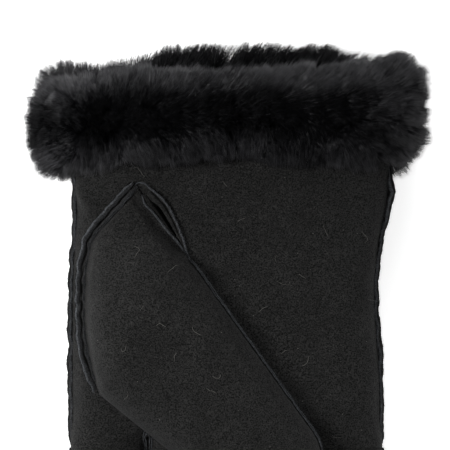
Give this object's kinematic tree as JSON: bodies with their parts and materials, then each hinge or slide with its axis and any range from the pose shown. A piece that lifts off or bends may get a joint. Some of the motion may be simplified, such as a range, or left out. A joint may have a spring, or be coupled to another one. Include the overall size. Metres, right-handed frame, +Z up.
{
  "type": "shearling glove",
  "caption": "Right-hand suede shearling glove with a turned-out fur cuff, lying on its back, with fingers that bend and a thumb that lifts off the palm.",
  "frame": {"origin": "middle of the glove's plan, on the surface it lies on, with its back down", "axes": "+Z up and out of the palm; +Y from the fingers towards the cuff; -X the thumb side, +X the little finger's side"},
  "size_m": [0.154, 0.236, 0.041],
  "materials": {
    "suede": "napped suede, matt charcoal black",
    "wool": "short dense wool pile, black",
    "fur": "long soft sheepskin fur, black",
    "thread": "matt black sewing thread"
  },
  "bodies": {
    "hand": {"palm_panel": "suede", "back_panel": "suede", "palm_pile": "wool", "back_pile": "wool", "thumb_base_leaf": "suede", "thumb_base_pile": "wool", "fourchette_index_middle": "suede", "fourchette_middle_ring": "suede", "fourchette_ring_little": "suede", "hand_thread_thumb_side": "thread", "hand_thread_little_side": "thread", "thumb_opening_thread": "thread", "cuff_band_palm": "suede", "cuff_band_back": "suede", "cuff_fur_palm": "fur", "cuff_fur_back": "fur"},
    "index": {"index_front": "suede", "index_back": "suede", "index_pile": "wool", "index_fourchette_little_side": "suede", "index_seam_thread": "thread"},
    "middle": {"middle_front": "suede", "middle_back": "suede", "middle_pile": "wool", "middle_fourchette_thumb_side": "suede", "middle_fourchette_little_side": "suede"},
    "ring": {"ring_front": "suede", "ring_back": "suede", "ring_pile": "wool", "ring_fourchette_thumb_side": "suede", "ring_fourchette_little_side": "suede"},
    "little": {"little_front": "suede", "little_back": "suede", "little_pile": "wool", "little_fourchette_thumb_side": "suede", "little_seam_thread": "thread"},
    "thumb": {"thumb_front": "suede", "thumb_back": "suede", "thumb_pile": "wool", "thumb_seam_thread": "thread"}
  },
  "joints": [
    {"name": "index_bend", "type": "hinge", "parent": "hand", "child": "index", "pos_m": [-0.045, -0.0625, 0.021], "axis": [-1, 0, 0], "range_deg": [0, 90]},
    {"name": "middle_bend", "type": "hinge", "parent": "hand", "child": "middle", "pos_m": [-0.015, -0.0625, 0.021], "axis": [-1, 0, 0], "range_deg": [0, 90]},
    {"name": "ring_bend", "type": "hinge", "parent": "hand", "child": "ring", "pos_m": [0.015, -0.0625, 0.021], "axis": [-1, 0, 0], "range_deg": [0, 90]},
    {"name": "little_bend", "type": "hinge", "parent": "hand", "child": "little", "pos_m": [0.045, -0.0625, 0.021], "axis": [-1, 0, 0], "range_deg": [0, 90]},
    {"name": "thumb_lift", "type": "hinge", "parent": "hand", "child": "thumb", "pos_m": [-0.0314, 0.0122, 0.0388], "axis": [-0.545, -0.8384, 0], "range_deg": [0, 110]}
  ]
}
